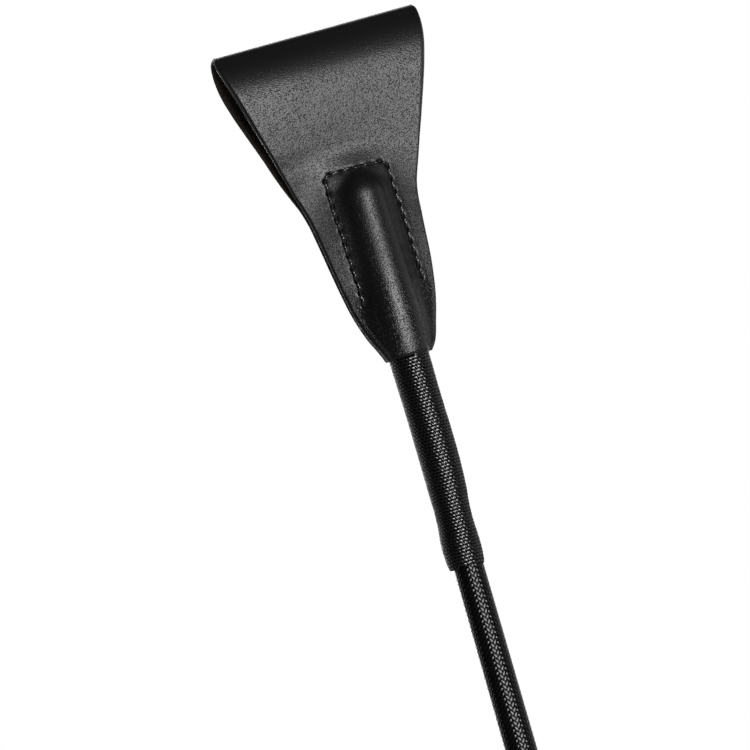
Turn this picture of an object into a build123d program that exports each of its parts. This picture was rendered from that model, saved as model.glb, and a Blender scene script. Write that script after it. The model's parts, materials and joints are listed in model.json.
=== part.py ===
from build123d import *

import os
from math import atan2, cos, sin

os.makedirs("parts", exist_ok=True)

# Riding crop of the short jumping kind, modelled butt down and flap up.
# The shaft runs along Z, the flap's broad faces look along -Y and +Y,
# and the origin is on the shaft's axis at the middle of the hand grip.
# All dimensions are in millimetres.

# ---------------------------------------------------------------- driving dimensions

overall_length = 650.0
butt_z = -110.0
tip_z = butt_z + overall_length

leather = 1.3  # thickness of the flap's leather
skived = 0.4  # thickness of its pared tongue, under the whipping
thread = 0.45  # how far sewing thread stands on the leather

# shaft: a tapered rod in a braided cover
braid_wall = 0.55
braid_grip_r = 4.58  # outside radius of the braid where it leaves the grip
braid_tip_r = 3.36  # and at its upper end, inside the flap
braid_bottom_z = 72.0
braid_top_z = 495.0
rod_bottom_z = -60.0
rod_top_z = 501.0

# flap: one strip of leather folded over at the tip, wide at the fold, narrow at the neck
fold_half_width = 25.5
waist_half_width = 14.2  # where the straight sides end
waist_depth = 39.0  # below the tip
neck_depth = 79.0
loop_depth = 29.5  # the two leaves part above this
belly = 5.8  # half the thickness of the loop, leather included
leaf_y = 3.2  # the leaves' middle plane stands this far behind the shaft's axis
hinge_z = tip_z - loop_depth
neck_z = tip_z - neck_depth
lean = atan2(leaf_y + 0.7, neck_depth - loop_depth)  # the pocket leans back by this
groove_gap = 0.4  # room round the bending line

# seam that closes the pocket
stitch_length = 2.5
stitch_width = 0.6
stitch_pitch = 3.05
column_half = 7.85
row_stitches = 5
column_stitches = 10
row_drop = 3.6  # the top row below the bending line

# hand grip
grip_bottom_z = -84.5
grip_top_z = 86.0
cover = 1.6
seam_gap = 0.3
seam_pitch = 6.0
seam_stitches = 28
grip_stitch_length = 4.6
grip_stitch_width = 0.8

# ends of the grip
cap_top_z = -88.0
cap_half = 15.0
cap_face_half = 10.5
collar_top_z = 97.0
collar_rim = 3.0  # height of the collar's thick lower rim
collar_r = 8.0
collar_front_r = 6.2
ring_r = 10.9
front_whip_top_z = 113.0
neck_whip_bottom_z = 410.0
tongue_bottom_z = 427.0


def braid_r(z):
    """Outside radius of the braided cover at height z."""
    along = (z - grip_top_z) / (braid_top_z - grip_top_z)
    return braid_grip_r + (braid_tip_r - braid_grip_r) * along


def ring_profile(*corners):
    """Face in the XZ plane through (radius, z) corners, to be turned about Z."""
    with BuildSketch(Plane.XZ) as profile:
        with BuildLine():
            Polyline(*corners, close=True)
        make_face()
    return profile.sketch


def curved_profile(inner, outer):
    """Face in the XZ plane between two curves through (radius, z) points."""
    with BuildSketch(Plane.XZ) as profile:
        with BuildLine():
            inside = Spline(*inner)
            outside = Spline(*outer)
            Line(inside @ 0, outside @ 0)
            Line(inside @ 1, outside @ 1)
        make_face()
    return profile.sketch


def finish(part, name):
    """Names a finished piece and writes it."""
    part.label = name
    export_step(part, f"parts/{name}.step")


# ---------------------------------------------------------------- shaft

with BuildPart() as core_rod:
    rod_grip_r = braid_grip_r - braid_wall
    rod_tip_r = braid_r(rod_top_z) - braid_wall
    revolve(
        ring_profile(
            (0, rod_bottom_z),
            (rod_grip_r, rod_bottom_z),
            (rod_grip_r, grip_top_z),
            (rod_tip_r, rod_top_z),
            (0, rod_top_z),
        ),
        axis=Axis.Z,
    )
    chamfer(core_rod.faces().sort_by(Axis.Z)[-1].edges(), 0.5)

finish(core_rod.part, "core_rod")

with BuildPart() as shaft_braid:
    revolve(
        ring_profile(
            (rod_grip_r, braid_bottom_z),
            (braid_grip_r, braid_bottom_z),
            (braid_grip_r, grip_top_z),
            (braid_r(braid_top_z), braid_top_z),
            (braid_r(braid_top_z) - braid_wall, braid_top_z),
            (rod_grip_r, grip_top_z),
        ),
        axis=Axis.Z,
    )

finish(shaft_braid.part, "shaft_braid")

# Thread bound round the braid's cut end, so that it can't unravel inside the flap.
binding_z = (484.0, 494.0)
binding_r = braid_r(binding_z[0]) + 0.4

with BuildPart() as tip_binding:
    revolve(
        ring_profile(
            (braid_r(binding_z[0]), binding_z[0]),
            (binding_r, binding_z[0]),
            (binding_r, binding_z[1]),
            (braid_r(binding_z[1]), binding_z[1]),
        ),
        axis=Axis.Z,
    )

finish(tip_binding.part, "tip_binding")

# Plastic cap on the rod's bare end, which keeps it from piercing the leather.
tip_cap_bottom_z = braid_top_z + 0.2
tip_cap_top_z = 503.5
tip_cap_r = 3.4

with BuildPart() as tip_cap:
    with BuildSketch(Plane.XZ):
        with BuildLine():
            Polyline((0, rod_top_z), (rod_tip_r, rod_top_z), (rod_tip_r + 0.03, tip_cap_bottom_z))
            Polyline((rod_tip_r + 0.03, tip_cap_bottom_z), (tip_cap_r, tip_cap_bottom_z))
            Line((tip_cap_r, tip_cap_bottom_z), (tip_cap_r, rod_top_z))
            TangentArc((tip_cap_r, rod_top_z), (1.0, tip_cap_top_z), tangent=(0, 1))
            Polyline((1.0, tip_cap_top_z), (0, tip_cap_top_z), (0, rod_top_z))
        make_face()
    revolve(axis=Axis.Z)

finish(tip_cap.part, "tip_cap")

# ---------------------------------------------------------------- flap

pocket_plane = Plane(
    origin=(0, leaf_y, hinge_z),
    x_dir=(1, 0, 0),
    z_dir=(0, -cos(lean), sin(lean)),
)
loop_plane = Plane(origin=(0, leaf_y, hinge_z), x_dir=(0, 1, 0), z_dir=(1, 0, 0))


def flap_outline(plane):
    """The strip's outline, with the bending line at the plane's origin."""
    top = loop_depth
    waist = top - waist_depth
    with BuildSketch(plane) as outline:
        with BuildLine() as right:
            Line((0, top), (fold_half_width, top))
            side = Line((fold_half_width, top), (waist_half_width, waist))
            skirt = Spline(
                (waist_half_width, waist),
                (waist_half_width - 1.6, waist - 8),
                (waist_half_width - 3.0, waist - 20),
                (waist_half_width - 5.2, waist - 31),
                (5.6, top - neck_depth),
                tangents=(side % 1, (-0.9, -1)),
            )
            Line(skirt @ 1, (0, top - neck_depth))
            mirror(right.line, about=Plane.YZ)
        make_face()
    return outline.sketch


# The lower part, sewn round the shaft's end. Its tongue runs on under the whipping.
bulge_r = tip_cap_r + leather + 0.4  # where the shaft's end lifts the leather
neck_r = 5.3  # outside radius at the neck
waist_r = 5.9  # at its thickest
upper_r = 5.5  # and over the middle of the pocket
room = 0.05  # round the shaft's end
knuckle_r = leather + 0.1  # the loop's rounded lower end, in the pocket's upper end

with BuildPart() as flap_pocket:
    extrude(flap_outline(pocket_plane), amount=leather, both=True)
    with BuildSketch(Plane.XZ):
        with BuildLine():
            skirt_curve = Spline(
                (neck_r, neck_z),
                (waist_r, neck_z + 9),
                (upper_r, neck_z + 21),
                (bulge_r, neck_z + 34),
                tangents=((0.1, 1), (0, 1)),
            )
            dome = TangentArc(skirt_curve @ 1, (1.0, tip_cap_top_z + leather), tangent=(0, 1))
            Polyline(
                dome @ 1,
                (0, tip_cap_top_z + leather),
                (0, tongue_bottom_z),
                (braid_r(tongue_bottom_z) + skived, tongue_bottom_z),
                (braid_r(neck_z) + skived, neck_z),
                (neck_r, neck_z),
            )
        make_face()
    revolve(axis=Axis.Z)
    # the space that the shaft's end fills
    with BuildSketch(Plane.XZ):
        with BuildLine():
            space_dome = TangentArc(
                (tip_cap_r + room, rod_top_z),
                (1.0, tip_cap_top_z + room),
                tangent=(0, 1),
            )
            Polyline(
                space_dome @ 1,
                (0, tip_cap_top_z + room),
                (0, tongue_bottom_z - 1),
                (braid_r(tongue_bottom_z - 1), tongue_bottom_z - 1),
                (braid_r(binding_z[0]), binding_z[0]),
                (binding_r + room, binding_z[0]),
                (binding_r + room, tip_cap_bottom_z),
                space_dome @ 0,
            )
        make_face()
    revolve(axis=Axis.Z, mode=Mode.SUBTRACT)
    # everything above the bending line belongs to the loop
    with BuildSketch(loop_plane):
        Circle(knuckle_r + groove_gap)
        with Locations((0, loop_depth)):
            Rectangle(4 * belly, 2 * loop_depth)
    extrude(amount=2 * fold_half_width, both=True, mode=Mode.SUBTRACT)

finish(flap_pocket.part, "flap_pocket")

# The upper part: the leaves part, belly out and meet again in the fold.
fold_shape = [
    (knuckle_r, 0.0),
    (3.4, 5.1),
    (4.8, 10.9),
    (belly, 17.5),
    (5.6, 20.9),
    (3.5, 26.5),
    (0.0, loop_depth),
]
hollow_shape = [
    (0.6, 3.4),
    (3.5, 10.9),
    (belly - leather, 17.5),
    (4.25, 20.9),
    (2.4, 25.6),
    (0.0, loop_depth - leather - 0.1),
]


def leaf_loop(points):
    """Closed teardrop in the loop's side view, from one side's (half thickness, height) points."""
    with BuildSketch(loop_plane) as teardrop:
        with BuildLine() as half:
            side = Spline(*points, tangents=((0.25, 1), (-1, 0)))
            Line(side @ 0, (0, points[0][1]))
            mirror(half.line, about=Plane.YZ)
        make_face()
    return teardrop.sketch


with BuildPart() as flap_loop:
    extrude(leaf_loop(fold_shape), amount=fold_half_width + 2, both=True)
    with BuildSketch(loop_plane):
        Circle(knuckle_r)
    extrude(amount=fold_half_width + 2, both=True)
    extrude(leaf_loop(hollow_shape), amount=fold_half_width + 4, both=True, mode=Mode.SUBTRACT)
    outline_plane = Plane(origin=(0, leaf_y, hinge_z), x_dir=(1, 0, 0), z_dir=(0, -1, 0))
    extrude(flap_outline(outline_plane), amount=3 * belly, both=True, mode=Mode.INTERSECT)

finish(flap_loop.part, "flap_loop")


def seam_stitches_on(plane):
    """The stitches of the pocket's seam: a row over the shaft's end and a column down each side."""
    column_length = (column_stitches - 1) * stitch_pitch
    column_middle = -row_drop - stitch_pitch / 2 - column_length / 2
    with BuildSketch(plane) as seam:
        with Locations((0, -row_drop)):
            with GridLocations(stitch_pitch, 1, row_stitches, 1):
                SlotOverall(stitch_length, stitch_width)
        with Locations((0, column_middle)):
            with GridLocations(2 * column_half, stitch_pitch, 2, column_stitches):
                SlotOverall(stitch_length, stitch_width, rotation=90)
    return seam.sketch


with BuildPart() as needle_thread:
    extrude(seam_stitches_on(pocket_plane.offset(leather)), amount=thread)

finish(needle_thread.part, "needle_thread")

with BuildPart() as bobbin_thread:
    extrude(seam_stitches_on(pocket_plane.offset(-leather)), amount=-thread)

finish(bobbin_thread.part, "bobbin_thread")

# Waxed thread wound over the leather's tongue and the braid, thicker where it crosses itself.
with BuildPart() as neck_whipping:
    revolve(
        ring_profile(
            (braid_r(neck_z) + skived, neck_z),
            (4.85, neck_z),
            (4.7, neck_z - 8),
            (4.65, neck_z - 27),
            (4.5, neck_z - 33),
            (4.3, neck_z - 36),
            (4.3, neck_z - 40.5),
            (4.55, neck_z - 44),
            (4.5, neck_z - 48.5),
            (4.3, neck_whip_bottom_z + 0.9),
            (4.0, neck_whip_bottom_z),
            (braid_r(neck_whip_bottom_z), neck_whip_bottom_z),
            (braid_r(tongue_bottom_z), tongue_bottom_z),
            (braid_r(tongue_bottom_z) + skived, tongue_bottom_z),
        ),
        axis=Axis.Z,
    )

finish(neck_whipping.part, "neck_whipping")

# ---------------------------------------------------------------- hand grip

grip_shape = [(9.6, grip_bottom_z), (10.1, -55.0), (9.5, 5.0), (8.2, 62.0), (7.6, grip_top_z)]


def grip_curve(grow):
    """The grip's outline, moved out from the leather's face by grow."""
    return [(r + grow, z) for r, z in grip_shape]


former_end_r = grip_shape[0][0] - cover
screw_r = 1.5
screw_top_z = -66.0

with BuildPart() as handle_former:
    with BuildSketch(Plane.XZ):
        with BuildLine():
            barrel = Spline(*grip_curve(-cover))
            Polyline(barrel @ 0, (0, grip_bottom_z), (0, grip_top_z), barrel @ 1)
        make_face()
    revolve(axis=Axis.Z)
    # a plain neck below the leather carries the metal ring
    with BuildSketch(Plane.XY.offset(cap_top_z)):
        Circle(former_end_r)
    extrude(amount=grip_bottom_z - cap_top_z)
    with BuildSketch(Plane.XY.offset(rod_bottom_z)):
        Circle(rod_grip_r)
    extrude(amount=grip_top_z - rod_bottom_z, mode=Mode.SUBTRACT)
    with BuildSketch(Plane.XY.offset(braid_bottom_z)):
        Circle(braid_grip_r)
    extrude(amount=grip_top_z - braid_bottom_z, mode=Mode.SUBTRACT)
    with BuildSketch(Plane.XY.offset(cap_top_z)):
        Circle(screw_r)
    extrude(amount=screw_top_z - cap_top_z, mode=Mode.SUBTRACT)

finish(handle_former.part, "handle_former")

with BuildPart() as grip_cover:
    revolve(curved_profile(grip_curve(-cover), grip_curve(0)), axis=Axis.Z)
    # the edges of the wrapped leather meet in a seam at the back
    with BuildSketch(Plane.XZ):
        with Locations((0, (grip_bottom_z + grip_top_z) / 2)):
            Rectangle(seam_gap, grip_top_z - grip_bottom_z + 2)
    extrude(amount=-2 * cap_half, mode=Mode.SUBTRACT)

finish(grip_cover.part, "grip_cover")

with BuildPart() as grip_seam_thread:
    revolve(curved_profile(grip_curve(0), grip_curve(thread)), axis=Axis.Z)
    with BuildSketch(Plane.XZ):
        with Locations((0, (grip_bottom_z + grip_top_z) / 2)):
            with GridLocations(1, seam_pitch, 1, seam_stitches):
                SlotOverall(grip_stitch_length, grip_stitch_width)
    extrude(amount=-2 * cap_half, mode=Mode.INTERSECT)

finish(grip_seam_thread.part, "grip_seam_thread")

# ---------------------------------------------------------------- front end of the grip

with BuildPart() as front_collar:
    revolve(
        ring_profile(
            (braid_grip_r, grip_top_z),
            (collar_r, grip_top_z),
            (collar_r, grip_top_z + collar_rim),
            (collar_r - 0.5, grip_top_z + collar_rim + 0.5),
            (collar_front_r, collar_top_z),
            (braid_grip_r, collar_top_z),
        ),
        axis=Axis.Z,
    )
    rim = front_collar.edges().filter_by(GeomType.CIRCLE).group_by(SortBy.RADIUS)[-1]
    fillet(rim, 0.6)

finish(front_collar.part, "front_collar")

with BuildPart() as front_whipping:
    whip_r = braid_r(collar_top_z) + 0.8
    revolve(
        ring_profile(
            (braid_grip_r, collar_top_z),
            (whip_r, collar_top_z),
            (whip_r, front_whip_top_z - 1),
            (whip_r - 0.5, front_whip_top_z),
            (braid_r(front_whip_top_z), front_whip_top_z),
        ),
        axis=Axis.Z,
    )

finish(front_whipping.part, "front_whipping")

# ---------------------------------------------------------------- butt end

disc_half = 7.0
disc_thickness = 1.8
well_half = 3.6  # the well holds the screw's head and its washer
cap_neck_r = 11.3
well_z = -99.0

with BuildPart() as cap_ring:
    revolve(
        ring_profile(
            (former_end_r, cap_top_z),
            (ring_r, cap_top_z),
            (ring_r, grip_bottom_z),
            (former_end_r, grip_bottom_z),
        ),
        axis=Axis.Z,
    )
    outer_rims = cap_ring.edges().filter_by(GeomType.CIRCLE).group_by(SortBy.RADIUS)[-1]
    fillet(outer_rims, 1.0)

finish(cap_ring.part, "cap_ring")

with BuildPart() as butt_cap:
    with BuildSketch(Plane.XZ):
        with BuildLine():
            dome = Spline(
                (cap_face_half, butt_z),
                (cap_half - 1.4, butt_z + 2.2),
                (cap_half, butt_z + 6.8),
                (cap_half - 1.3, butt_z + 12.5),
                (cap_neck_r + 0.5, butt_z + 17.5),
                (cap_neck_r, cap_top_z),
                tangents=((1, 0), (0, 1)),
            )
            Polyline(dome @ 1, (0, cap_top_z), (0, butt_z), dome @ 0)
        make_face()
    revolve(axis=Axis.Z)
    with Locations(Plane(origin=(0, 0, butt_z), z_dir=(0, 0, -1))):
        CounterBoreHole(screw_r + 0.2, disc_half, disc_thickness + 0.2, depth=-butt_z + cap_top_z)
    with BuildSketch(Plane.XY.offset(butt_z)):
        Circle(well_half)
    extrude(amount=well_z - butt_z, mode=Mode.SUBTRACT)

finish(butt_cap.part, "butt_cap")

washer_thickness = 0.8
head_half = 3.1
head_height = 2.2
slot_length = 3.6  # of the cross in the screw's head
slot_width = 0.8
slot_depth = 1.2

with BuildPart() as cap_washer:
    with BuildSketch(Plane.XY.offset(well_z - washer_thickness)):
        Circle(well_half - 0.1)
        Circle(screw_r + 0.2, mode=Mode.SUBTRACT)
    extrude(amount=washer_thickness)

finish(cap_washer.part, "cap_washer")

with BuildPart() as cap_screw:
    head_z = well_z - washer_thickness - head_height
    with BuildSketch(Plane.XY.offset(head_z)):
        Circle(head_half)
    extrude(amount=head_height)
    fillet(cap_screw.faces().sort_by(Axis.Z)[0].edges(), 0.9)
    with BuildSketch(Plane.XY.offset(head_z)):
        Rectangle(slot_length, slot_width)
        Rectangle(slot_width, slot_length)
    extrude(amount=slot_depth, mode=Mode.SUBTRACT)
    shank_z = head_z + head_height
    with BuildSketch(Plane.XY.offset(shank_z)):
        Circle(screw_r)
    extrude(amount=screw_top_z - shank_z - 1)
    chamfer(cap_screw.faces().sort_by(Axis.Z)[-1].edges(), 1.2)

finish(cap_screw.part, "cap_screw")

with BuildPart() as cap_disc:
    with BuildSketch(Plane.XY.offset(butt_z + 0.2)):
        Circle(disc_half - 0.05)
    extrude(amount=disc_thickness)
    fillet(cap_disc.faces().sort_by(Axis.Z)[0].edges(), 0.5)

finish(cap_disc.part, "cap_disc")
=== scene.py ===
import json
from math import cos, pi, radians, sin, tau

import bpy
import numpy as np
from mathutils import Matrix, Vector

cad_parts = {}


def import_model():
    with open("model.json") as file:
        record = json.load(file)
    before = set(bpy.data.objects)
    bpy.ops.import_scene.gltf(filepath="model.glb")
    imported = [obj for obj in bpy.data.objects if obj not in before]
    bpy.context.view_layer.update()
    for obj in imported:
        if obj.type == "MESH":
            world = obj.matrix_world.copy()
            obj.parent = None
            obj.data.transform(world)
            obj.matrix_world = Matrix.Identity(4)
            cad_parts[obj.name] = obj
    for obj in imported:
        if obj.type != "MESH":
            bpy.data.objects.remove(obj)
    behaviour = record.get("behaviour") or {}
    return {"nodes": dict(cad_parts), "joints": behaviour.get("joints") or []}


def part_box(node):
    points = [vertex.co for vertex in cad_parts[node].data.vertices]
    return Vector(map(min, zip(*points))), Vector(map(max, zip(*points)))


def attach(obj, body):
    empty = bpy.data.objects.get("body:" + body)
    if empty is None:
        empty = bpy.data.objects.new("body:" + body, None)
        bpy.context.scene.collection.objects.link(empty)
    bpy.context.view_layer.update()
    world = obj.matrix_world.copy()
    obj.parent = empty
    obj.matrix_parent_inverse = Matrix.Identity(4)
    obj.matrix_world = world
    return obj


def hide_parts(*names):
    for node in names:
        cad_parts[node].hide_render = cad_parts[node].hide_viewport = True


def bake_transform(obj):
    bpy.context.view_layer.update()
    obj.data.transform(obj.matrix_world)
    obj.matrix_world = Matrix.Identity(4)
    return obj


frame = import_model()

# Looks of the riding crop: its folded leather flap, the seam that closes the flap's pocket, the
# whipped neck, the braided shaft and the sewn grip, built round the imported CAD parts.
# Lengths in the mesh code are millimetres in the CAD's frame, and add_piece turns them into metres.
# The front of the flap faces -Y, and depth is measured down from the tip.

MM = 0.001
X, Y, Z = range(3)
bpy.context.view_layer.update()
random = np.random.default_rng(7)


# ---------------------------------------------------------------- places taken from the frame

def low(node, axis):
    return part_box(node)[0][axis] / MM


def high(node, axis):
    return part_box(node)[1][axis] / MM


flap_hinge = frame["joints"][0]
leaf_y = flap_hinge["pos_m"][Y] / MM  # middle plane of the two leaves, at the bending line
hinge_z = flap_hinge["pos_m"][Z] / MM
tip_z = high("flap_loop", Z)
butt_z = low("butt_cap", Z)
neck_z = high("neck_whipping", Z)
hinge_depth = tip_z - hinge_z
neck_depth = tip_z - neck_z
braid_top_z = high("shaft_braid", Z)
grip_top_z = high("grip_cover", Z)
grip_bottom_z = low("grip_cover", Z)

leather = 1.3  # thickness of the flap's leather
neck_y = -0.7  # the leaves' middle plane has come this far forward at the neck
braid_grip_r = high("shaft_braid", X)
braid_tip_r = 3.36


def braid_r(z):
    """Outside radius of the braided cover."""
    return braid_grip_r + (braid_tip_r - braid_grip_r) * (z - grip_top_z) / (braid_top_z - grip_top_z)


# ---------------------------------------------------------------- curves and meshes

def through(points):
    """Smooth curve through rows of (position, value, ...), as a function of position."""
    rows = np.array(points, float)
    at, values = rows[:, 0], rows[:, 1:]
    slopes = np.gradient(values, at, axis=0)

    def curve(position):
        position = np.clip(position, at[0], at[-1])
        i = np.clip(np.searchsorted(at, position, side="right") - 1, 0, len(at) - 2)
        span = (at[i + 1] - at[i])[..., None]
        t = (position - at[i])[..., None] / span
        start = (1 + 2 * t) * (1 - t) ** 2 * values[i] + t * (1 - t) ** 2 * span * slopes[i]
        end = t * t * (3 - 2 * t) * values[i + 1] + t * t * (t - 1) * span * slopes[i + 1]
        made = start + end
        return made[..., 0] if values.shape[1] == 1 else made

    return curve


def ramp(value, start, end):
    """0 before start and 1 after end, smooth in between."""
    t = np.clip((value - start) / (end - start), 0, 1)
    return t * t * (3 - 2 * t)


def soft_max(a, b, width):
    """The larger of a and b, with their corner rounded over width."""
    return (a + b + np.sqrt((a - b) ** 2 + width**2)) / 2


def path_length(points):
    """Distance travelled along a row of points, at each of them."""
    steps = np.linalg.norm(np.diff(points, axis=0), axis=1)
    return np.concatenate([[0.0], np.cumsum(steps)])


def unit(vectors):
    return vectors / np.linalg.norm(vectors, axis=-1, keepdims=True)


def add_piece(name, strips, materials, closed=True):
    """One mesh object from strips, each (points, along, across, material number of each column).

    points is a grid in millimetres. along and across are its texture places in millimetres, and a
    closed strip has one more of across than its grid has columns, where it meets itself.
    """
    points, quads, places, numbers = [], [], [], []
    used = 0
    for grid, along, across, number in strips:
        rows, columns, _ = grid.shape
        count = columns if closed else columns - 1
        i, j = np.meshgrid(np.arange(rows - 1), np.arange(count), indexing="ij")
        right = (j + 1) % columns
        corners = [i * columns + j, i * columns + right, (i + 1) * columns + right, (i + 1) * columns + j]
        quads.append(np.stack(corners, -1).reshape(-1, 4) + used)
        corner_across = np.stack([across[j], across[j + 1], across[j + 1], across[j]], -1)
        corner_along = np.stack([along[i], along[i], along[i + 1], along[i + 1]], -1)
        places.append(np.stack([corner_across, corner_along], -1).reshape(-1, 2))
        numbers.append(np.broadcast_to(number, (rows - 1, count)).ravel())
        points.append(grid.reshape(-1, 3))
        used += rows * columns
    data = bpy.data.meshes.new(name)
    data.from_pydata((np.concatenate(points) * MM).tolist(), [], np.concatenate(quads).tolist())
    layer = data.uv_layers.new(name="millimetres")
    layer.data.foreach_set("uv", np.concatenate(places).ravel().astype(np.float32))
    data.polygons.foreach_set("material_index", np.concatenate(numbers).astype(np.int32))
    data.shade_smooth()
    for material in materials:
        data.materials.append(material)
    piece = bpy.data.objects.new(name, data)
    bpy.context.scene.collection.objects.link(piece)
    return piece


def twisted_cord(centre, outward, radius, twist, plies=3, points_per_ply=4, pressed=1.0, groove=0.3):
    """Strip for a cord of round plies twisted together along a centre line. twist is the angle turned
    at each point: growing, it slants the plies like a backslash on a cord that runs to the right.
    pressed is the cord's thickness as a share of its width, and groove how deep the plies part, as a
    share of the radius. Across, its texture place counts plies."""
    along = unit(np.gradient(centre, axis=0))
    out = unit(outward - (outward * along).sum(1, keepdims=True) * along)
    aside = np.cross(along, out)
    travelled = path_length(centre)
    around = plies * points_per_ply
    place = np.arange(around) * tau / around
    reach = radius * (1 - groove + groove * np.abs(np.cos(plies * place / 2)))[None, :]
    end = np.minimum(travelled, travelled[-1] - travelled)[:, None]
    reach = reach * np.sqrt(np.clip(end / radius, 0.01, 1))
    turn = place[None, :] + twist[:, None]
    grid = centre[:, None] + reach[..., None] * (
        pressed * np.cos(turn)[..., None] * out[:, None] + np.sin(turn)[..., None] * aside[:, None]
    )
    return grid, travelled, np.arange(around + 1) / points_per_ply, 0


def on_shaft(angle, radius, z):
    """Point at an angle round the shaft, 0 at the front and growing to the right."""
    angle, radius, z = np.broadcast_arrays(angle, radius, z)
    return np.stack([radius * np.sin(angle), -radius * np.cos(angle), z], -1)


# ---------------------------------------------------------------- materials

def node(tree, kind, inputs=None, **settings):
    """New shader node. inputs are values or other nodes' sockets, by name or number."""
    made = tree.nodes.new("ShaderNode" + kind)
    for name, value in settings.items():
        setattr(made, name, value)
    for name, value in (inputs or {}).items():
        if isinstance(value, bpy.types.NodeSocket):
            tree.links.new(value, made.inputs[name])
        else:
            made.inputs[name].default_value = value
    return made


def surface(name, roughness, specular=0.5, metallic=0.0, coat=0.0):
    """New material, its node tree and its shader."""
    material = bpy.data.materials.new(name)
    material.use_nodes = True
    tree = material.node_tree
    shader = tree.nodes["Principled BSDF"]
    shader.inputs["Roughness"].default_value = roughness
    shader.inputs["Specular IOR Level"].default_value = specular
    shader.inputs["Metallic"].default_value = metallic
    shader.inputs["Coat Weight"].default_value = coat
    return material, tree, shader


def flat_place(tree, stretch=(1.0, 1.0, 1.0)):
    """A piece's own place in millimetres, from its UV map."""
    place = node(tree, "UVMap", uv_map="millimetres")
    return node(tree, "Mapping", {"Vector": place.outputs["UV"], "Scale": stretch}).outputs["Vector"]


def solid_place(tree, stretch=(1.0, 1.0, 1.0)):
    """A CAD part's own place in millimetres."""
    place = node(tree, "TexCoord")
    scale = tuple(s / MM for s in stretch)
    return node(tree, "Mapping", {"Vector": place.outputs["Object"], "Scale": scale}).outputs["Vector"]


def noise(tree, place, scale, detail=3.0):
    """Cloudy noise with scale lumps to the millimetre."""
    made = node(tree, "TexNoise", {"Vector": place, "Scale": scale, "Detail": detail})
    return made.outputs["Factor"] if "Factor" in made.outputs else made.outputs["Fac"]


def blend_range(tree, value, low_value, high_value):
    """value, from 0 to 1, stretched to a new range."""
    made = node(tree, "MapRange", {"Value": value, "To Min": low_value, "To Max": high_value})
    return made.outputs["Result"]


def smooth_range(tree, value, start, end, low_value=0.0, high_value=1.0):
    """low_value up to start and high_value from end, smooth in between."""
    made = node(
        tree,
        "MapRange",
        {"Value": value, "From Min": start, "From Max": end, "To Min": low_value, "To Max": high_value},
        interpolation_type="SMOOTHSTEP",
    )
    return made.outputs["Result"]


def shades(tree, value, *stops):
    """Colour from a value, through (position, red, green, blue) stops."""
    made = node(tree, "ValToRGB", {"Fac": value})
    ramp_stops = made.color_ramp.elements
    while len(ramp_stops) < len(stops):
        ramp_stops.new(0.5)
    for element, (position, *colour) in zip(ramp_stops, stops):
        element.position = position
        element.color = (*colour, 1.0)
    return made.outputs["Color"]


def add(tree, a, b, share):
    """a + share * b"""
    made = node(tree, "Math", {0: b, 1: share, 2: a}, operation="MULTIPLY_ADD")
    return made.outputs["Value"]


def relief(tree, shader, height, depth):
    """Bumps of this depth in millimetres on the shader's surface."""
    bump = node(tree, "Bump", {"Height": height, "Distance": depth * MM, "Strength": 1.0})
    tree.links.new(bump.outputs["Normal"], shader.inputs["Normal"])


def pores(tree, cell, stretch):
    """1 in the grain's pores and 0 on the smooth leather between them."""
    place = flat_place(tree, stretch)
    cells = node(tree, "TexVoronoi", {"Vector": place, "Scale": 1 / cell, "Randomness": 0.85})
    return smooth_range(tree, cells.outputs["Distance"], 0.08, 0.5, 1.0, 0.0)


def along_piece(tree, start, end):
    """0 up to start and 1 from end, by the distance along a piece either way from its middle."""
    place = node(tree, "SeparateXYZ", {"Vector": flat_place(tree)})
    away = node(tree, "Math", {0: place.outputs["Y"]}, operation="ABSOLUTE").outputs["Value"]
    return smooth_range(tree, away, start, end)


def mixed(tree, share, a, b):
    """a where share is 0 and b where it is 1."""
    return node(tree, "Mix", {0: share, 2: a, 3: b}).outputs[0]


def grain_leather(name, cell, depth, roughness, fold=False):
    """Black leather: fine pores in a softly pebbled face, and a finish that is a little patchy.
    With fold, the grain is stretched smooth where the strip turns over, and drawn out beside the shaft."""
    material, tree, shader = surface(name, roughness)
    pits = pores(tree, cell, (1.0, 1.0, 1.0))
    lumps = noise(tree, flat_place(tree), 1.1 / cell, 1.0)
    if fold:
        drawn_out = pores(tree, cell, (1.25, 0.5, 1.0))
        pits = mixed(tree, along_piece(tree, 34, 46), pits, drawn_out)
        pits = mixed(tree, along_piece(tree, 5, 13), 0.12, pits)
        lumps = mixed(tree, along_piece(tree, 5, 13), 0.5, lumps)
    height = add(tree, add(tree, lumps, lumps, 0.3), pits, -0.7)
    relief(tree, shader, height, depth)
    patches = noise(tree, flat_place(tree), 0.12, 4.0)
    polish = blend_range(tree, patches, roughness - 0.02, roughness + 0.03)
    polish = add(tree, polish, pits, 0.34)
    if fold:
        polish = add(tree, polish, along_piece(tree, 58, 70), -0.11)
    tree.links.new(polish, shader.inputs["Roughness"])
    colour = shades(tree, pits, (0.1, 0.006, 0.0058, 0.0058), (0.8, 0.002, 0.002, 0.002))
    tree.links.new(colour, shader.inputs["Base Color"])
    return material


def flesh_leather():
    """The leather's inner side: matt, dark and fibrous."""
    material, tree, shader = surface("flap_flesh_side", 0.8, specular=0.3)
    place = flat_place(tree)
    fibres = noise(tree, flat_place(tree, (1.0, 0.35, 1.0)), 5.0, 6.0)
    clouds = noise(tree, place, 0.5)
    relief(tree, shader, add(tree, fibres, clouds, 0.6), 0.12)
    colour = shades(tree, fibres, (0.3, 0.022, 0.017, 0.014), (0.7, 0.075, 0.062, 0.054))
    tree.links.new(colour, shader.inputs["Base Color"])
    return material


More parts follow.
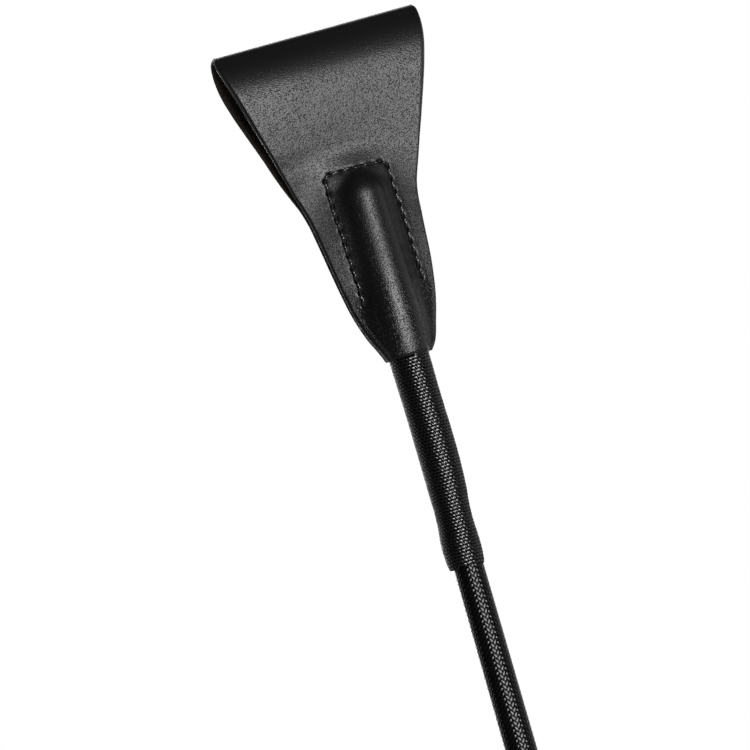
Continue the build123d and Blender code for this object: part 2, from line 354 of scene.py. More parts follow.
def cut_edge():
    """The leather's cut edge, dyed and rubbed, with its layers just showing."""
    material, tree, shader = surface("flap_cut_edge", 0.5)
    place = flat_place(tree, (4.0, 0.25, 1.0))
    layers = noise(tree, place, 1.6, 4.0)
    rubbed = noise(tree, flat_place(tree), 0.7, 3.0)
    relief(tree, shader, add(tree, layers, rubbed, 0.4), 0.05)
    colour = shades(tree, rubbed, (0.3, 0.016, 0.015, 0.015), (0.75, 0.05, 0.046, 0.044))
    tree.links.new(colour, shader.inputs["Base Color"])
    return material


def needle_hole_shade():
    """Torn fibres inside the needle holes, coloured darker than the leather round them as painted shade in
    the holes.
    """
    material, tree, shader = surface("flap_needle_holes", 0.9, specular=0.1)
    fibres = noise(tree, flat_place(tree), 9.0, 3.0)
    relief(tree, shader, fibres, 0.05)
    # painted shade: the needle holes' walls are coloured darker than the leather face
    colour = shades(tree, fibres, (0.3, 0.001, 0.001, 0.001), (0.8, 0.006, 0.005, 0.005))
    tree.links.new(colour, shader.inputs["Base Color"])
    return material


def ply_groove_shade(tree):
    """1 in the grooves between a cord's plies and 0 on the plies: where painted shade goes."""
    place = node(tree, "SeparateXYZ", {"Vector": flat_place(tree)})
    turn = node(tree, "Math", {0: place.outputs["X"], 1: tau}, operation="MULTIPLY").outputs["Value"]
    crown = node(tree, "Math", {0: turn}, operation="COSINE").outputs["Value"]
    return smooth_range(tree, crown, -0.7, 0.3, 1.0, 0.0)


def thread(name, roughness, light, strand_scale, specular=0.5, plied=True):
    """Black thread with filaments along it. With plied, shade is painted near black in the grooves between
    its plies.
    """
    material, tree, shader = surface(name, roughness, specular=specular)
    filaments = noise(tree, flat_place(tree, (1.0, 0.18, 1.0)), strand_scale, 3.0)
    clouds = noise(tree, flat_place(tree), 0.4, 2.0)
    relief(tree, shader, filaments, 0.01)
    colour = shades(
        tree, add(tree, filaments, clouds, 0.4), (0.4, *[0.5 * light] * 3), (0.9, *[1.4 * light] * 3)
    )
    polish = blend_range(tree, clouds, roughness - 0.06, roughness + 0.08)
    if plied:
        # painted shade: near-black colour in the grooves between the plies
        colour = node(
            tree, "Mix", {0: ply_groove_shade(tree), 6: colour, 7: (0.0005, 0.0005, 0.0005, 1)}, data_type="RGBA"
        ).outputs[2]
    tree.links.new(colour, shader.inputs["Base Color"])
    tree.links.new(polish, shader.inputs["Roughness"])
    return material


def moulded_plastic(name, colour, roughness, scuffs):
    """Moulded plastic with a fine spark-eroded texture and light scuffs."""
    material, tree, shader = surface(name, roughness)
    grain = noise(tree, solid_place(tree), 4.0, 2.0)
    scratches = noise(tree, solid_place(tree, (1.0, 1.0, 0.12)), 1.3, 5.0)
    relief(tree, shader, add(tree, grain, scratches, 0.3), 0.02)
    lit = tuple(c * 1.6 + 0.004 for c in colour)
    shade = shades(tree, scratches, (0.45, *colour), (0.75, *lit))
    polish = blend_range(tree, scratches, roughness - scuffs, roughness + scuffs)
    tree.links.new(shade, shader.inputs["Base Color"])
    tree.links.new(polish, shader.inputs["Roughness"])
    return material


def metal(name, colour, roughness, brushing):
    """Metal with fine turning marks and faint tarnish."""
    material, tree, shader = surface(name, roughness, metallic=1.0)
    marks = noise(tree, solid_place(tree, brushing), 3.0, 4.0)
    tarnish = noise(tree, solid_place(tree), 0.25, 4.0)
    relief(tree, shader, marks, 0.004)
    dull = tuple(c * 0.7 for c in colour)
    shade = shades(tree, tarnish, (0.35, *dull), (0.6, *colour))
    polish = blend_range(tree, tarnish, roughness + 0.12, roughness)
    tree.links.new(shade, shader.inputs["Base Color"])
    tree.links.new(polish, shader.inputs["Roughness"])
    return material


def glass_fibre():
    """Drawn rod: glass rovings along it, set in dark resin."""
    material, tree, shader = surface("rod_glass_fibre", 0.3, coat=0.4)
    rovings = noise(tree, solid_place(tree, (1.0, 1.0, 0.02)), 3.0, 4.0)
    relief(tree, shader, rovings, 0.03)
    colour = shades(tree, rovings, (0.35, 0.006, 0.006, 0.007), (0.75, 0.02, 0.021, 0.02))
    tree.links.new(colour, shader.inputs["Base Color"])
    return material


def pale_floor():
    """Pale studio floor that also glows, for the camera only, and fades to white far away."""
    material, tree, shader = surface("floor_paper", 0.8, specular=0.2)
    mottle = noise(tree, solid_place(tree), 0.002, 2.0)
    colour = shades(tree, mottle, (0.2, 0.2, 0.2, 0.2), (0.8, 0.22, 0.22, 0.22))
    tree.links.new(colour, shader.inputs["Base Color"])
    path = node(tree, "LightPath")
    shader.inputs["Emission Color"].default_value = (1, 1, 1, 1)
    away = node(tree, "VectorMath", {0: node(tree, "TexCoord").outputs["Object"]}, operation="LENGTH")
    fade = smooth_range(tree, away.outputs["Value"], 1.2, 4.3, 0.58, 0.95)
    glow = node(tree, "Math", {0: path.outputs["Is Camera Ray"], 1: fade}, operation="MULTIPLY")
    tree.links.new(glow.outputs["Value"], shader.inputs["Emission Strength"])
    return material


# ---------------------------------------------------------------- flap: shape of the leather

# half thickness of the closed loop, outside and inside, as (half thickness, depth below the tip)
fold_outside = [
    (0.0, 0.0), (1.25, 0.35), (3.0, 2.6), (4.5, 5.3), (5.55, 8.7), (5.8, 12.5),
    (5.1, 18.6), (4.1, 24.4), (3.1, 29.5), (2.1, 33.2), (1.55, 36.5), (leather, 41.0),
]
fold_inside = [
    (0.0, 1.4), (0.75, 1.65), (2.0, 3.4), (3.3, 5.8), (4.3, 9.0), (4.5, 12.5),
    (3.8, 18.5), (2.8, 24.2), (1.8, 29.3), (0.8, 33.1), (0.28, 36.5), (0.05, 41.0),
]
curve_samples = 2000  # for measuring along these two
loop_rows = 96
fine_rows = 34  # of these are over the last fine_length of the loop, where the stitches start
fine_length = 9.5
pocket_rows = 134
tongue_rows = 14
tongue_thinning = 0.75  # share of the leaves' thickness pared away in the tongue
tongue_depth = neck_depth + 6.5
closed_depth = fold_outside[-1][1]
fold_depth = 13.0  # the strip turns over above this
edge_droop = 3.5  # the leaves part this much lower at the strip's edges than at its middle

half_width = through([
    (0, 24.9), (1, 25.4), (3, 25.35), (5, 25.0), (12.7, 22.95), (24.4, 19.2), (36, 15.4),
    (39.5, 14.2), (42.5, 13.5), (47.2, 12.9), (61.2, 11.25), (66, 10.35), (70.5, 9.1),
    (75.2, 7.4), (77.5, 6.35), (78.8, 5.55), (78.95, 5.4), (79.05, 4.0), (81, 3.9), (90, 3.8),
])
strip_aside = through([
    (0, 0.3), (12, 0.25), (22, 0.15), (34, 0.05), (40, 0.1), (45, 0.25), (53, 0.35), (58, 0.5), (67, 0.8),
    (72, 0.75), (78, 0.5), (79, 0.2), (90, 0),
])  # to the shaft's right
fold_skew = 0.020  # the fold rises to the right by this share of the distance across
fold_rise = 0.6  # and its middle stands this much above the tip
edge_band = 0.45  # the cut edges are rounded over this width
edge_drop = 0.42  # and lose this much thickness on the outer face
inner_open = 0.6  # share of that on the inner face, in the open loop
inner_closed = 0.15  # and where the leaves lie together
bulge_r = through([
    (30, 4.8), (45, 4.85), (55, 5.15), (63, 5.5), (69, 5.75), (74, 5.65), (77.5, 5.3),
    (78.8, 5.05), (78.95, 4.9), (79.05, 4.0), (80.4, 3.85), (90, 3.7),
])
dome_depth = 34.0  # the shaft's end first lifts the leather here
dome_length = 6.0
dome_sink = 3.0  # the dome's centre lies this far behind the shaft's axis
dome_least = 0.02  # its size at its very end, as a share
dome_starts = (dome_depth - 3, dome_depth + 1.5)
swell_height = 2.4  # the leather also rises broadly round the shaft's end
swell_width = 9.0
swell_rises = (27, 36)
swell_falls = (40, 72)
flank_slope = through([(30, 2.1), (58, 2.0), (79, 1.8)])  # steepness of the leather beside the shaft
fillet = through([(30, 2.6), (58, 2.6), (68, 1.8), (79, 0.9)])  # how softly it turns to the flat there
seam_x = 7.85
curl_left = through([(26, 0), (42, 9), (58, 9), (68, 22), (76, 20), (79, 14)])  # degrees the leaves turn
curl_right = through([(26, 0), (42, 3), (56, 6), (68, 20), (76, 20), (79, 14)])  # back beside the shaft
curl_start = through([(30, 6.0), (58, 6.0), (68, 4.5), (79, 3.5)])
curl_softness = 3.0
hole_r = 0.42  # needle holes, drawn open by the thread
seam_depth = hinge_depth + 3.6
seam_pitch = 3.05
seam_corner = 1.3  # one slanted stitch cuts each upper corner by this much
row_holes = 6
column_holes = 11  # on the left, and one fewer on the right
groove_sink = 0.05
groove_width = 0.6
hole_sink = 0.7
hole_width = 0.36
hole_rim_sink = 0.08
hole_rim_width = 0.8


def seam_places():
    """Needle holes of the pocket's seam, as (x, depth): up the left side, along the top, down the right."""
    column = seam_depth + seam_corner + seam_pitch * np.arange(column_holes)
    row = np.linspace(seam_corner - seam_x, seam_x - seam_corner, row_holes)
    left = [(-seam_x, d) for d in column[::-1]]
    right = [(seam_x, d) for d in column[:-1]]
    return np.array(left + [(x, seam_depth) for x in row] + right)


holes = seam_places()


def into_neck(depth):
    """0 on the flap and 1 in the tongue under the whipping."""
    return ramp(depth, neck_depth - 0.04, neck_depth + 0.06)


def middle_y(depth):
    """Middle plane between the two leaves: upright in the loop, leaning forward down to the neck."""
    fall = (leaf_y - neck_y) * (depth - hinge_depth) / (neck_depth - hinge_depth)
    return (leaf_y - np.maximum(0, fall)) * (1 - into_neck(depth))


def shaft_rise(x, depth, flat, radius):
    """How far the shaft inside lifts a leaf off its flat plane, flat being that plane's distance
    in front of the shaft's axis."""
    dome_end = dome_depth + dome_length
    shrink = np.sqrt(np.clip(1 - ((dome_end - depth) / dome_length) ** 2, dome_least**2, 1))
    shrink = np.where(depth > dome_end, 1.0, np.where(depth < dome_depth, dome_least, shrink))
    across = np.abs(x) / shrink**1.5
    slope = flank_slope(depth)
    crown = np.sqrt(np.maximum(radius**2 - across**2, 0))
    flank_cos = 1 / np.hypot(1, slope)
    flank = radius / flank_cos - across * slope
    section = np.where(across < radius * slope * flank_cos, crown, flank)
    lift = shrink * (section + dome_sink) - (flat + dome_sink)
    swell = swell_height * ramp(depth, *swell_rises) * (1 - ramp(depth, *swell_falls))
    swell = swell * np.exp(-((x / swell_width) ** 2))
    return swell + soft_max(lift - swell, 0.0, fillet(depth)) * ramp(depth, *dome_starts)


def seam_dent(x, depth):
    """How far the drawn-up thread sinks the leather: a groove along the seam and a hole at each stitch."""
    spread_x = np.abs(x)
    last = holes[:, 1].max()
    to_column = np.hypot(spread_x - seam_x, np.maximum(0, np.maximum(seam_depth - depth, depth - last)))
    to_row = np.hypot(np.maximum(0, spread_x - seam_x), depth - seam_depth)
    groove = groove_sink * np.exp(-((np.minimum(to_column, to_row) / groove_width) ** 2))
    pits = np.zeros_like(groove)
    for hole_x, hole_depth in holes:
        away = np.hypot(x - hole_x, depth - hole_depth)
        hole = hole_sink * np.exp(-((away / hole_width) ** 2))
        rim = hole_rim_sink * np.exp(-((away / hole_rim_width) ** 2))
        pits = np.maximum(pits, hole + rim)
    return groove + pits


def turned_back(x, depth):
    """How far back both leaves are bent beside the shaft."""
    slope = np.tan(np.radians(np.where(x < 0, curl_left(depth), curl_right(depth))))
    outside_shaft = soft_max(np.abs(x) - curl_start(depth), 0.0, curl_softness)
    return slope * outside_shaft * (1 - into_neck(depth))


def leaf_face(x, depth, half, side, inset=0.0):
    """Y of a leaf's face. side is -1 for the front leaf and 1 for the back one, half the face's distance
    from the middle plane, and inset how much nearer to the shaft it is than the outer face."""
    middle = middle_y(depth) + turned_back(x, depth)
    flat = half + side * middle
    radius = np.maximum(bulge_r(depth) - inset, 0.5)
    return middle + side * (half + shaft_rise(x + strip_aside(depth), depth, flat, radius))


def leaf_profile(points, rows):
    """Rows of (half thickness, depth) from the fold down to the end of the tongue."""
    points = np.array(points)
    travelled = path_length(points)
    curve = through(np.column_stack([travelled, points]))
    fine = curve(np.linspace(0, travelled[-1], curve_samples))
    length = path_length(fine)
    fine_from = length[-1] - fine_length
    coarse = np.linspace(0, fine_from, rows - fine_rows, endpoint=False)
    place = np.concatenate([coarse, np.linspace(fine_from, length[-1], fine_rows)])
    loop = np.column_stack([np.interp(place, length, axis) for axis in fine.T])
    sewn = np.linspace(closed_depth, neck_depth - 0.3, pocket_rows + 1)[1:]
    cut = neck_depth + np.array([-0.18, -0.1, -0.04, 0.0, 0.06])
    tongue = np.linspace(neck_depth + 0.4, tongue_depth, tongue_rows)
    pocket = np.concatenate([sewn, cut, tongue])
    half = points[-1][0] * (1 - tongue_thinning * into_neck(pocket))
    return np.concatenate([loop, np.column_stack([half, pocket])])


def column_places(width):
    """Places across the strip, closer over the shaft and at the seam, for an array of half widths."""
    over_shaft = np.arange(0, 6.3, 0.57)
    at_seam = np.arange(6.8, 9.41, 0.175)
    core = np.concatenate([over_shaft, at_seam])
    limit = np.minimum(9.4, width - 0.6 - 0.6 * ramp(width, 4, 9))
    inner = core[None, :] * (limit / core[-1])[:, None]
    share = np.linspace(0, 1, 21)[1:-1]
    outer = limit[:, None] + (width - edge_band - limit)[:, None] * share[None, :]
    edge = width[:, None] - np.array([[edge_band, 0.25, 0.1, 0.0]])
    half = np.concatenate([inner, outer, edge], axis=1)
    return np.concatenate([-half[:, :0:-1], half], axis=1)


outside = leaf_profile(fold_outside, loop_rows)
inside = leaf_profile(fold_inside, loop_rows)


def lowered(profile, depth, share):
    """Half thickness at places across the strip, where its opening is drawn lower towards the edges.
    share is the distance from the strip's middle as a share of its half width there."""
    drawn = depth - edge_droop * share**2 * ramp(depth, 14, 34)
    return np.interp(drawn, profile[:, 1], profile[:, 0])


def flap_leather(grain, edge, flesh, pierced_hole):
    """The whole strip of leather: up the front, over the fold and down the back."""
    depth = outside[:, 1]
    travelled = path_length(outside)
    width = half_width(depth)
    x = column_places(width)
    share = x / width[:, None]
    in_fold = depth[:, None] < fold_depth
    outer_half = np.where(in_fold, outside[:, 0][:, None], lowered(outside, depth[:, None], share))
    inner_half = np.where(in_fold, inside[:, 0][:, None], lowered(inside, inside[:, 1][:, None], share))

    inner_share = inner_open + (inner_closed - inner_open) * ramp(depth, 34, 44)[:, None]
    rounding = edge_drop * np.clip(1 - (width[:, None] - np.abs(x)) / edge_band, 0, 1) ** 2
    dent = np.where(depth[:, None] > closed_depth - 9, seam_dent(x, depth[:, None]), 0)
    skew = (fold_rise + fold_skew * x) * (1 - ramp(depth, 0, hinge_depth)[:, None])
    aside = strip_aside(depth)[:, None]

    sides = []
    for side in (-1, 1):
        outer_y = leaf_face(x, depth[:, None], outer_half, side)
        inner_y = leaf_face(x, inside[:, 1][:, None], inner_half, side, inset=leather)
        outer_y = outer_y - side * (rounding + dent)
        inner_y = inner_y + side * rounding * inner_share
        outer = np.stack([x + aside, outer_y, tip_z - depth[:, None] + skew], -1)
        inner = np.stack([x + aside, inner_y, tip_z - inside[:, 1][:, None] + skew], -1)
        rim = (outer[:, [0, -1]] + inner[:, [0, -1]]) / 2
        rim[..., X] += np.array([[-0.1, 0.1]])
        ring = np.concatenate([outer, rim[:, 1:], inner[:, ::-1], rim[:, :1]], axis=1)
        sides.append(ring)
    front, back = sides
    grid = np.concatenate([front[:0:-1], back])
    along = np.concatenate([-travelled[:0:-1], travelled])
    columns = x.shape[1]
    middle_x = x[loop_rows // 2]
    across = np.concatenate([
        middle_x,
        [middle_x[-1] + 1],
        middle_x[-1] + 2 + (middle_x[-1] - middle_x[::-1]),
        [3 * middle_x[-1] + 3, 3 * middle_x[-1] + 4],
    ])
    number = np.full((len(grid) - 1, grid.shape[1]), 2)
    number[:, : columns - 1] = 0
    number[:, [columns - 1, columns, -2, -1]] = 1
    face_x = (x[1:, 1:] + x[:-1, :-1]) / 2
    face_depth = (depth[1:, None] + depth[:-1, None]) / 2
    # faces in the needle holes get the hole material, whose darker colour is painted shade
    pierced = np.zeros(face_x.shape, bool)
    for hole_x, hole_depth in holes:
        pierced |= np.hypot(face_x - hole_x, face_depth - hole_depth) < hole_r
    number[:, : columns - 1][np.concatenate([pierced[::-1], pierced])] = 3
    strips = [(grid, along, across, number)]
    return add_piece("flap_leather", strips, [grain, edge, flesh, pierced_hole])


# ---------------------------------------------------------------- flap: its seam

stitch_r = 0.4
stitch_lay = 2.4  # the stitch's two plies go once round each other in this length
stitch_stand = 0.22  # height of its middle line over the leather
stitch_sink = 0.9  # how far its ends dive
doubled_lift = 0.25  # a second stitch lies this much higher


def stitch_cord(start, end, side, lift=0.0):
    """One stitch between two needle holes, sunk at its ends, on the front (side -1) or the back (1)."""
    t = np.linspace(0, 1, 36)
    place = start[None, :] + t[:, None] * (end - start)[None, :]
    arch = np.sin(pi * t) ** 0.55
    x, depth = place.T
    face = leaf_face(x, depth, lowered(outside, depth, x / half_width(depth)), side)
    y = face + side * (stitch_stand + lift - stitch_sink * (1 - arch))
    centre = np.stack([x + strip_aside(depth), y, tip_z - depth], -1)
    outward = np.broadcast_to([0.0, side, 0.0], centre.shape)
    twist = tau * t * seam_pitch / stitch_lay
    return twisted_cord(centre, outward, stitch_r, twist, plies=2, points_per_ply=6)


def pocket_seam(material):
    """Both faces of the saddle-stitched seam, each column ended by sewing its last stitches twice."""
    doubled = [0, 1, 2, len(holes) - 4, len(holes) - 3, len(holes) - 2]
    front = (-1, "pocket_stitches_front", "needle_thread")
    back = (1, "pocket_stitches_back", "bobbin_thread")
    for side, name, node_name in (front, back):
        strips = []
        for start, end in zip(holes[:-1], holes[1:]):
            shift = random.uniform(-0.15, 0.15, (2, 2))
            lift = random.uniform(-0.05, 0.1)
            strips.append(stitch_cord(start + shift[0], end + shift[1], side, lift))
        for k in doubled:
            shift = random.uniform(-0.14, 0.14, (2, 2))
            strips.append(stitch_cord(holes[k] + shift[0], holes[k + 1] + shift[1], side, doubled_lift))
        piece = add_piece(name, strips, [material])
        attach(piece, "crop")
        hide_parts(node_name)


# ---------------------------------------------------------------- whippings

def wander(count, amount, waves):
    """Slow random drift about 0."""
    t = np.linspace(0, 1, count)
    made = np.zeros(count)
    for _ in range(4):
        made += np.sin(tau * (waves * random.uniform(0.4, 1.6) * t + random.uniform()))
    return amount * made / 4


cord_spacing = 0.77
cord_r = 0.58
cord_pressed = 0.45  # a wound thread's thickness as a share of its width
cord_groove = 0.45
height_drift = 0.04
radius_drift = 0.03
twist_drift = 0.5


def wound_thread(name, profile, shift, starts, spacing, radius, twists, material, per_turn=110):
    """Threads wound side by side round the shaft. profile gives the outside radius at heights from the
    foot to the top, shift how far the winding sits to the right of the axis, and twists the turns
    that a thread makes about itself in one winding. The winding presses it flat."""
    heights = [z for z, _ in profile]
    outer_r = through(profile)
    aside = through(shift)
    lead = starts * spacing
    turns = (heights[-1] - heights[0] - 2 * radius) / lead
    strips = []
    for start in range(starts):
        first = tau * start / starts
        angle = first + np.linspace(0, tau * turns, round(per_turn * turns))
        fallen = (angle - first) / tau * lead
        z = heights[-1] - radius - fallen + wander(len(angle), height_drift, turns * 1.7)
        around_r = outer_r(z) - cord_pressed * radius + wander(len(angle), radius_drift, turns * 2.3)
        centre = on_shaft(angle, around_r, z)
        outward = on_shaft(angle, 1.0, 0.0 * z)
        centre[:, X] += aside(z)
        twist = twists * (angle - first) + wander(len(angle), twist_drift, turns * 0.5)
        strips.append(twisted_cord(centre, outward, radius, twist, pressed=cord_pressed, groove=cord_groove))
    return add_piece(name, strips, [material])


def neck_whipping(material):
    """Waxed cord over the flap's tongue and on to the braid, thinner where the tongue ends."""
    over_neck = [
        (51, 3.9), (50, 4.2), (48.5, 4.4), (44, 4.46), (40.5, 4.2), (36, 4.2), (33, 4.4),
        (27, 4.58), (8, 4.62), (2.5, 4.7), (-0.7, 4.7),
    ]
    profile = [(neck_z - below, r + 0.1) for below, r in over_neck]
    lean = [(51, -0.3), (44, -0.3), (38, -0.05), (33, 0.2), (0, 0.15)]
    shift = [(neck_z - below, aside) for below, aside in lean]
    piece = wound_thread("neck_cord", profile, shift, 3, cord_spacing, cord_r, 9.35, material)
    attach(piece, "crop")
    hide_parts("neck_whipping")


def front_whipping(material):
    """Cord bound in front of the grip's collar."""
    top, foot = high("front_whipping", Z), low("front_whipping", Z)
    r = high("front_whipping", X)
    profile = [(foot, r), (foot + 4, r), (top - 3, r - 0.05), (top - 1, r - 0.2), (top, r - 0.5)]
    shift = [(foot, 0.0), (top, 0.0)]
    piece = wound_thread(
        "grip_front_cord", profile, shift, 1, cord_spacing, cord_r, 10.45, material
    )
    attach(piece, "crop")
    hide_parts("front_whipping")


def tip_binding(material):
    """Finer thread round the braid's cut end, hidden in the pocket."""
    top, foot = high("tip_binding", Z), low("tip_binding", Z)
    r = high("tip_binding", X)
    profile = [(foot, r), ((foot + top) / 2, r), (top, r - 0.05)]
    shift = [(foot, 0.0), (top, 0.0)]
    piece = wound_thread(
        "tip_thread", profile, shift, 1, 0.42, 0.3, 13.1, material, per_turn=60
    )
    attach(piece, "crop")
    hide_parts("tip_binding")


# ---------------------------------------------------------------- braided shaft

carriers = 20  # strands in each direction
braid_lead = 25.0  # a strand goes once round in this height
samples_per_crossing = 3
strand_sink = 0.11  # a strand's mean depth in the cover
strand_relief = 0.08  # its rise and fall over and under the others
strand_crown = 0.03
strand_cover = 0.94  # its width as a share of the room it has
strand_offset = 7.0  # keeps the texture of neighbouring strands apart


def strand(number, way, foot, top):
    """Ribbon of one strand, over two and under two of those that run the other way.
    way is 1 for strands that climb to the right and -1 for those that climb to the left."""
    crossing = braid_lead / carriers / 2
    z = np.linspace(foot, top, int((top - foot) / crossing * samples_per_crossing))
    passed = (z - foot) / crossing
    angle = tau * (number / carriers + way * (z - foot) / braid_lead)
    phase = 2 * number + way * passed - 0.5
    over = way * np.cos(tau * phase / 4)
    over = np.clip(1.5 * over, -1, 1)
    middle_r = braid_r(z) - strand_sink + strand_relief * over
    slope = tau * middle_r * way / braid_lead
    side_angle = np.cos(np.arctan(slope)) / middle_r
    side_z = -np.sin(np.arctan(slope))
    width = strand_cover * tau * middle_r * np.cos(np.arctan(slope)) / carriers
    offsets = np.array([-0.5, -0.25, 0.25, 0.5])
    crown = strand_crown * np.array([-1, 1, 1, -1])
    reach = offsets[None, :] * width[:, None]
    grid = on_shaft(
        angle[:, None] + reach * side_angle[:, None],
        middle_r[:, None] + crown[None, :],
        z[:, None] + reach * side_z[:, None],
    )
    travelled = path_length(grid[:, 1])
    return grid, travelled + strand_offset * number, offsets * width.mean(), 0


def braid(material):
    """The shaft's braided cover, from inside the grip's front whipping to under the neck's."""
    foot = low("front_whipping", Z) + 2
    top = low("neck_whipping", Z) + 14
    for way, name in ((1, "braid_climbing_right"), (-1, "braid_climbing_left")):
        strips = [strand(number, way, foot, top) for number in range(carriers)]
        piece = add_piece(name, strips, [material], closed=False)
        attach(piece, "crop")
        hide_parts("shaft_braid")


# ---------------------------------------------------------------- grip

grip_outside = through([(-84.5, 9.6), (-55, 10.1), (5, 9.5), (62, 8.2), (86, 7.6)])
grip_seam_pitch = 6.0
grip_stitches = 28
grip_seam_foot = (grip_bottom_z + grip_top_z) / 2 - grip_seam_pitch * (grip_stitches - 1) / 2
grip_stitch_r = 0.36
grip_stitch_reach = 2.2  # to each side of the seam
valley_sink = 0.75  # the two edges roll in at the seam
valley_width = 0.5
pucker_sink = 0.16  # and the stitches draw the leather in beside it
pucker_width = 2.2
turned_sink = 0.7  # the cover's ends are rounded off
turned_band = 0.9
texture_r = 9.0  # the texture's width is measured round this radius


def grip_leather(grain):
    """Leather wrapped round the handle, its two edges drawn together in a seam at the back."""
    z = np.linspace(grip_bottom_z, grip_top_z, 300)
    half = np.linspace(0, pi, 70)
    around = half - 0.9 * np.sin(2 * half) / 8
    angle = np.concatenate([-around[:0:-1], around])
    to_seam = (pi - np.abs(angle))[None, :] * grip_outside(z)[:, None]
    beat = np.cos(tau * (z[:, None] - grip_seam_foot) / grip_seam_pitch)
    valley = valley_sink * np.exp(-((to_seam / valley_width) ** 2))
    pucker = pucker_sink * beat * np.exp(-((to_seam / pucker_width) ** 2))
    end = np.minimum(z - z[0], z[-1] - z)[:, None]
    turned = turned_sink * np.clip(1 - end / turned_band, 0, 1) ** 2
    slow_waves = 0.05 * np.sin(z[:, None] / 7.3 + 2 * angle[None, :])
    quick_waves = 0.04 * np.sin(z[:, None] / 3.1 - angle[None, :])
    radius = grip_outside(z)[:, None] - valley - pucker - turned + slow_waves + quick_waves - 0.02
    outer = on_shaft(angle[None, :], radius, z[:, None])
    across = angle * texture_r
    strips = [(outer, z - z[0], across, 0)]
    piece = add_piece("grip_leather", strips, [grain], closed=False)
    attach(piece, "crop")
    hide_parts("grip_cover")


def grip_seam(material):
    """Cross stitches over the grip's seam: one slanted leg each way at every pair of holes."""
    strips = []
    for k in range(grip_stitches):
        z0 = grip_seam_foot + k * grip_seam_pitch
        rise = grip_seam_pitch * 0.5
        for way in (-1, 1):
            t = np.linspace(-1, 1, 40)
            z = z0 + way * rise * t * 0.5
            r = grip_outside(z) + 0.08 + (0.2 if way > 0 else 0.0) - 0.9 * np.abs(t) ** 5
            angle = pi + t * grip_stitch_reach / r
            centre = on_shaft(angle, r, z)
            outward = on_shaft(angle, 1.0, 0.0 * z)
            strips.append(twisted_cord(centre, outward, grip_stitch_r, pi * grip_stitch_reach * (t + 1)))
    piece = add_piece("grip_seam_stitches", strips, [material])
    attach(piece, "crop")
    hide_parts("grip_seam_thread")


# ---------------------------------------------------------------- studio

def floor():
    """Wide, round, pale floor under the butt."""
    turn = np.linspace(0, tau, 97)
    radii = np.array([1.0, 300.0, 900.0, 1800.0, 3000.0, 4500.0])
    grid = np.stack([
        radii[:, None] * np.cos(turn)[None, :],
        radii[:, None] * np.sin(turn)[None, :],
        np.full((len(radii), len(turn)), butt_z),
    ], -1)
    data = bpy.data.meshes.new("floor")
    rows, columns = grid.shape[:2]
    quads = [
        (i * columns + j, (i + 1) * columns + j, (i + 1) * columns + j + 1, i * columns + j + 1)
        for i in range(rows - 1)
        for j in range(columns - 1)
    ]
    data.from_pydata((grid.reshape(-1, 3) * MM).tolist(), [], quads)
    data.shade_smooth()
    data.materials.append(pale_floor())
    made = bpy.data.objects.new("floor", data)
    bpy.context.scene.collection.objects.link(made)


light_distance = 1.6


def soft_box(name, azimuth, elevation, width, height, brightness):
    """Area light that faces the flap. Azimuth 0 is in front of it and grows to its right."""
    light = bpy.data.lights.new(name, "AREA")
    light.shape = "RECTANGLE"
    light.size = width
    light.size_y = height
    light.energy = brightness * pi * width * height
    made = bpy.data.objects.new(name, light)
    bpy.context.scene.collection.objects.link(made)
    a, e = radians(azimuth), radians(elevation)
    away = Vector((sin(a) * cos(e), -cos(a) * cos(e), sin(e)))
    made.location = Vector((0, 0, hinge_z * MM)) + away * light_distance
    made.rotation_euler = away.to_track_quat("Z", "Y").to_euler()
    made.visible_camera = False


def world(ambient):
    """White behind the object for the camera, and a dimmer even light for everything else."""
    made = bpy.data.worlds.new("studio")
    made.use_nodes = True
    tree = made.node_tree
    path = node(tree, "LightPath")
    seen = blend_range(tree, path.outputs["Is Camera Ray"], ambient, 1.0)
    background = tree.nodes["Background"]
    tree.links.new(seen, background.inputs["Strength"])
    background.inputs["Color"].default_value = (1, 1, 1, 1)
    bpy.context.scene.world = made


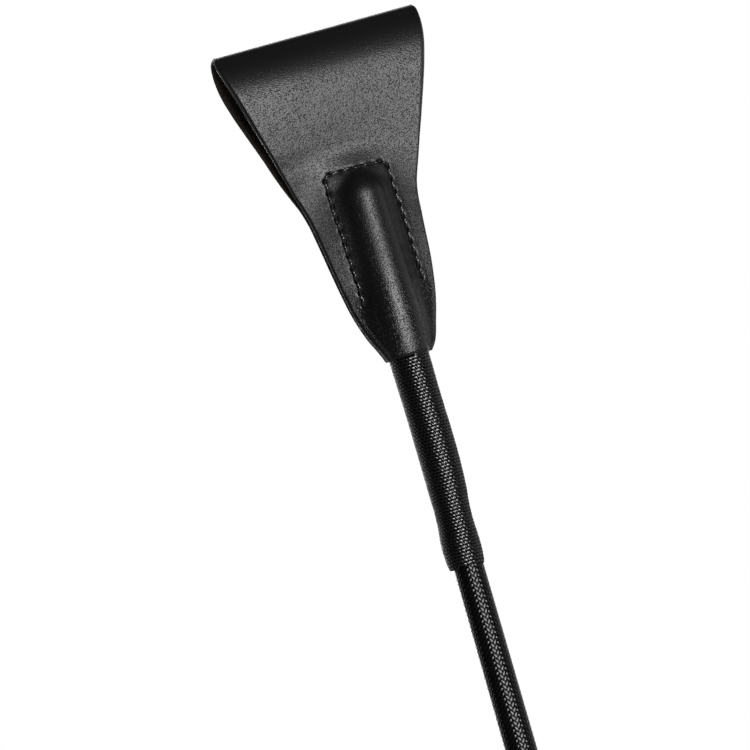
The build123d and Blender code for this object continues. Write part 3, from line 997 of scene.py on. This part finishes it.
def camera():
    """Camera in front of the flap, a little to its left and below, rolled so that the crop leans left."""
    yaw, rise, roll = radians(16), radians(-3), radians(16)
    distance, view_width = 1.5, 0.17442
    aim_depth, aim_left = 80.9, 8.605
    back = Vector((-sin(yaw) * cos(rise), -cos(yaw) * cos(rise), sin(rise)))
    level = Vector((cos(yaw), -sin(yaw), 0))
    upright = back.cross(level)
    right = level * cos(roll) - upright * sin(roll)
    up = upright * cos(roll) + level * sin(roll)
    target = Vector((0, 0, (tip_z - aim_depth) * MM)) - level * aim_left * MM
    data = bpy.data.cameras.new("camera")
    data.sensor_width = 36.0
    data.lens = data.sensor_width * distance / view_width
    made = bpy.data.objects.new("camera", data)
    bpy.context.scene.collection.objects.link(made)
    turn = Matrix((right, up, back)).transposed().to_4x4()
    made.matrix_world = Matrix.Translation(target + back * distance) @ turn
    bpy.context.scene.camera = made


# ---------------------------------------------------------------- everything together

def dress(names, material):
    """Gives CAD parts a material."""
    for name in names:
        data = frame["nodes"][name].data
        data.materials.clear()
        data.materials.append(material)


flap_grain = grain_leather("flap_grain_side", 0.34, 0.052, 0.36, fold=True)
flap = flap_leather(flap_grain, cut_edge(), flesh_leather(), needle_hole_shade())
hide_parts("flap_pocket", "flap_loop")
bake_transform(flap)
pocket_seam(thread("sewing_thread", 0.24, 0.018, 9.0, specular=0.8))

waxed = thread("waxed_cord", 0.18, 0.003, 5.0, specular=0.8)
neck_whipping(waxed)
front_whipping(waxed)
tip_binding(waxed)
braid(thread("braid_yarn", 0.2, 0.002, 7.0, specular=0.4, plied=False))
grip_leather(grain_leather("grip_grain_side", 0.55, 0.06, 0.44))
grip_seam(thread("grip_thread", 0.4, 0.02, 6.0))

dress(["core_rod"], glass_fibre())
dress(["tip_cap"], moulded_plastic("tip_plastic", (0.02, 0.02, 0.021), 0.5, 0.08))
dress(["handle_former"], moulded_plastic("former_plastic", (0.06, 0.06, 0.058), 0.55, 0.06))
dress(["butt_cap", "cap_disc"], moulded_plastic("cap_plastic", (0.009, 0.009, 0.0095), 0.38, 0.1))
dress(["front_collar", "cap_ring"], metal("nickel", (0.62, 0.60, 0.56), 0.16, (1.0, 1.0, 6.0)))
dress(["cap_washer", "cap_screw"], metal("zinc_steel", (0.55, 0.56, 0.58), 0.3, (2.0, 2.0, 1.0)))

floor()
world(0.02)
soft_box("key", 6, -2, 0.88, 0.76, 13.0)
soft_box("left_rim", -140, 8, 1.2, 1.3, 0.7)
soft_box("right_rim", 150, 8, 1.0, 1.3, 1.8)
soft_box("right_fill", 98, 2, 1.8, 1.1, 0.45)
soft_box("back_key", 178, 4, 0.9, 1.1, 6.0)
soft_box("top_back", 180, 40, 1.6, 1.2, 1.6)
camera()
bpy.context.scene.view_settings.view_transform = "Standard"
